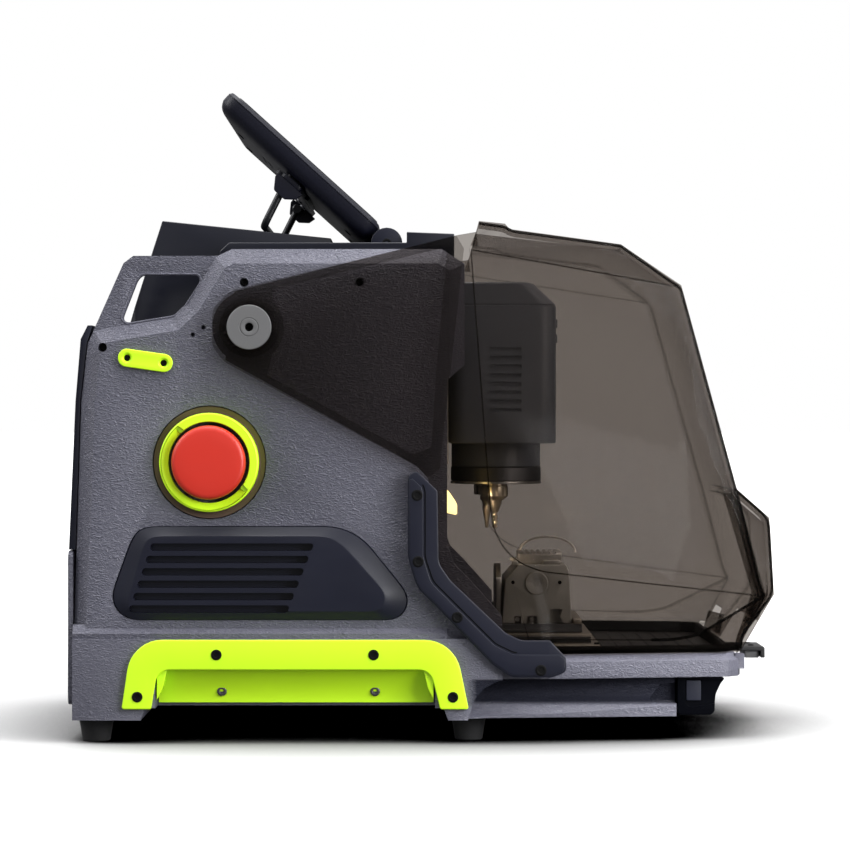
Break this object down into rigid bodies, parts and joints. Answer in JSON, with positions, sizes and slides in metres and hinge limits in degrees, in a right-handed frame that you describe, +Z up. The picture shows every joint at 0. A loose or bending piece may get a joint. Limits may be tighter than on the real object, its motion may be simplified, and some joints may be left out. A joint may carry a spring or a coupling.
{
  "type": "key duplicating machine",
  "caption": "Bench key cutting machine: cast body, lift-up smoked cover over spindle head and key vise, tilting tablet, emergency stop and chip drawer.",
  "frame": {"origin": "middle of the footprint at table height, under the centre of the bounding box", "axes": "+X to the front (the cover's nose), +Z up, the emergency-stop side is -Y"},
  "size_m": [0.3914, 0.2568, 0.3539],
  "materials": {
    "cast_grey": "leather-grain powder coat",
    "navy": "fine satin",
    "lime": "satin",
    "smoked": "polished smoked plastic",
    "red": "satin",
    "bronze": "dull bronze",
    "washer_grey": "matte",
    "black_rubber": "matte",
    "black_plastic": "matte",
    "black_wire": "satin black",
    "steel": "ground",
    "dark_steel": "blackened",
    "alu": "machined",
    "board": "solder mask",
    "lamp": "diffuse warm lamp lens",
    "screen": "gloss"
  },
  "bodies": {
    "chassis": {"base_casting": "cast_grey", "side_panel_right": "cast_grey", "side_panel_left": "cast_grey", "rear_panel_lower": "cast_grey", "vent_grille_right": "navy", "vent_grille_left": "navy", "guard_rail_right": "navy", "guard_rail_left": "navy", "rear_cover_upper": "navy", "top_deck": "navy", "grip_trim_right": "lime", "grip_trim_left": "lime", "badge_right": "lime", "badge_left": "lime", "estop_collar": "lime", "estop_recess_ring": "bronze", "pivot_pin_right": "washer_grey", "pivot_pin_left": "washer_grey", "foot_rear_right": "black_rubber", "foot_rear_left": "black_rubber", "foot_front_right": "black_rubber", "foot_front_left": "black_rubber", "estop_contact_block": "black_plastic", "fan_guard": "black_plastic", "fan_frame": "black_plastic", "power_inlet": "black_plastic", "chamber_floor": "black_plastic", "front_bulkhead": "black_plastic", "cover_catch": "steel", "head_rail_right": "steel", "head_rail_left": "steel", "tablet_hinge": "dark_steel", "table_saddle": "alu", "power_supply": "alu", "control_board": "board", "work_lamp": "lamp"},
    "cover": {"cover_shell": "smoked", "cover_pull_tab": "black_plastic"},
    "tablet": {"tablet_body": "navy", "tablet_screen": "screen", "prop_bracket": "black_plastic"},
    "prop": {"prop_bail": "black_wire"},
    "stop_button": {"estop_button": "red"},
    "drawer": {"chip_drawer": "navy"},
    "head": {"head_carriage": "alu", "spindle_housing": "black_plastic", "spindle_flange": "dark_steel"},
    "lead_screw": {"z_leadscrew": "steel"},
    "cutter": {"cutter_spindle": "steel"},
    "tracer": {"tracer_probe": "steel"},
    "y_table": {"y_slide": "alu"},
    "x_table": {"x_slide": "dark_steel", "vise_body": "alu"},
    "jaw": {"vise_jaw": "steel"},
    "knob": {"vise_knob": "steel"},
    "fan": {"fan_rotor": "black_plastic"},
    "rocker": {"power_rocker": "red"}
  },
  "joints": [
    {"name": "cover_lift", "type": "hinge", "parent": "chassis", "child": "cover", "pos_m": [-0.0963, 0, 0.2246], "axis": [0, -1, 0], "range_deg": [0, 55]},
    {"name": "tablet_tilt", "type": "hinge", "parent": "chassis", "child": "tablet", "pos_m": [-0.0227, 0, 0.2718], "axis": [0, 1, 0], "range_deg": [-10, 4]},
    {"name": "prop_swing", "type": "hinge", "parent": "tablet", "child": "prop", "pos_m": [-0.07994, 0, 0.30465], "axis": [0, 1, 0], "range_deg": [-25, 61]},
    {"name": "stop_press", "type": "slide", "parent": "chassis", "child": "stop_button", "axis": [0, 1, 0], "range_m": [0, 0.004]},
    {"name": "drawer_slide", "type": "slide", "parent": "chassis", "child": "drawer", "axis": [1, 0, 0], "range_m": [0, 0.06]},
    {"name": "head_lift", "type": "slide", "parent": "chassis", "child": "head", "axis": [0, 0, 1], "range_m": [-0.008, 0.006]},
    {"name": "lead_screw_turn", "type": "hinge", "parent": "chassis", "child": "lead_screw", "pos_m": [0.006, 0, 0.18], "axis": [0, 0, 1], "range_deg": [-725, 545]},
    {"name": "cutter_spin", "type": "hinge", "parent": "head", "child": "cutter", "pos_m": [0.0387, -0.013, 0.13], "axis": [0, 0, 1], "continuous": true},
    {"name": "tracer_retract", "type": "slide", "parent": "head", "child": "tracer", "axis": [0, 0, 1], "range_m": [0, 0.004]},
    {"name": "y_travel", "type": "slide", "parent": "chassis", "child": "y_table", "axis": [0, 1, 0], "range_m": [-0.014, 0.014]},
    {"name": "x_travel", "type": "slide", "parent": "y_table", "child": "x_table", "axis": [1, 0, 0], "range_m": [-0.012, 0.012]},
    {"name": "jaw_clamp", "type": "slide", "parent": "x_table", "child": "jaw", "axis": [0, 1, 0], "range_m": [-0.001, 0.005]},
    {"name": "knob_turn", "type": "hinge", "parent": "x_table", "child": "knob", "pos_m": [0.0623, -0.032, 0.0813], "axis": [0, 1, 0], "range_deg": [-181, 901]},
    {"name": "fan_spin", "type": "hinge", "parent": "chassis", "child": "fan", "pos_m": [-0.1797, -0.058, 0.062], "axis": [1, 0, 0], "continuous": true},
    {"name": "rocker_tip", "type": "hinge", "parent": "chassis", "child": "rocker", "pos_m": [-0.194, 0.078, 0.045], "axis": [0, 1, 0], "range_deg": [-5, 5]}
  ],
  "couplings": [
    {"joint": "prop_swing", "follows": "tablet_tilt", "ratio": -6},
    {"joint": "lead_screw_turn", "follows": "head_lift", "rad_per_m": 1570.8},
    {"joint": "knob_turn", "follows": "jaw_clamp", "rad_per_m": 3141.6}
  ]
}
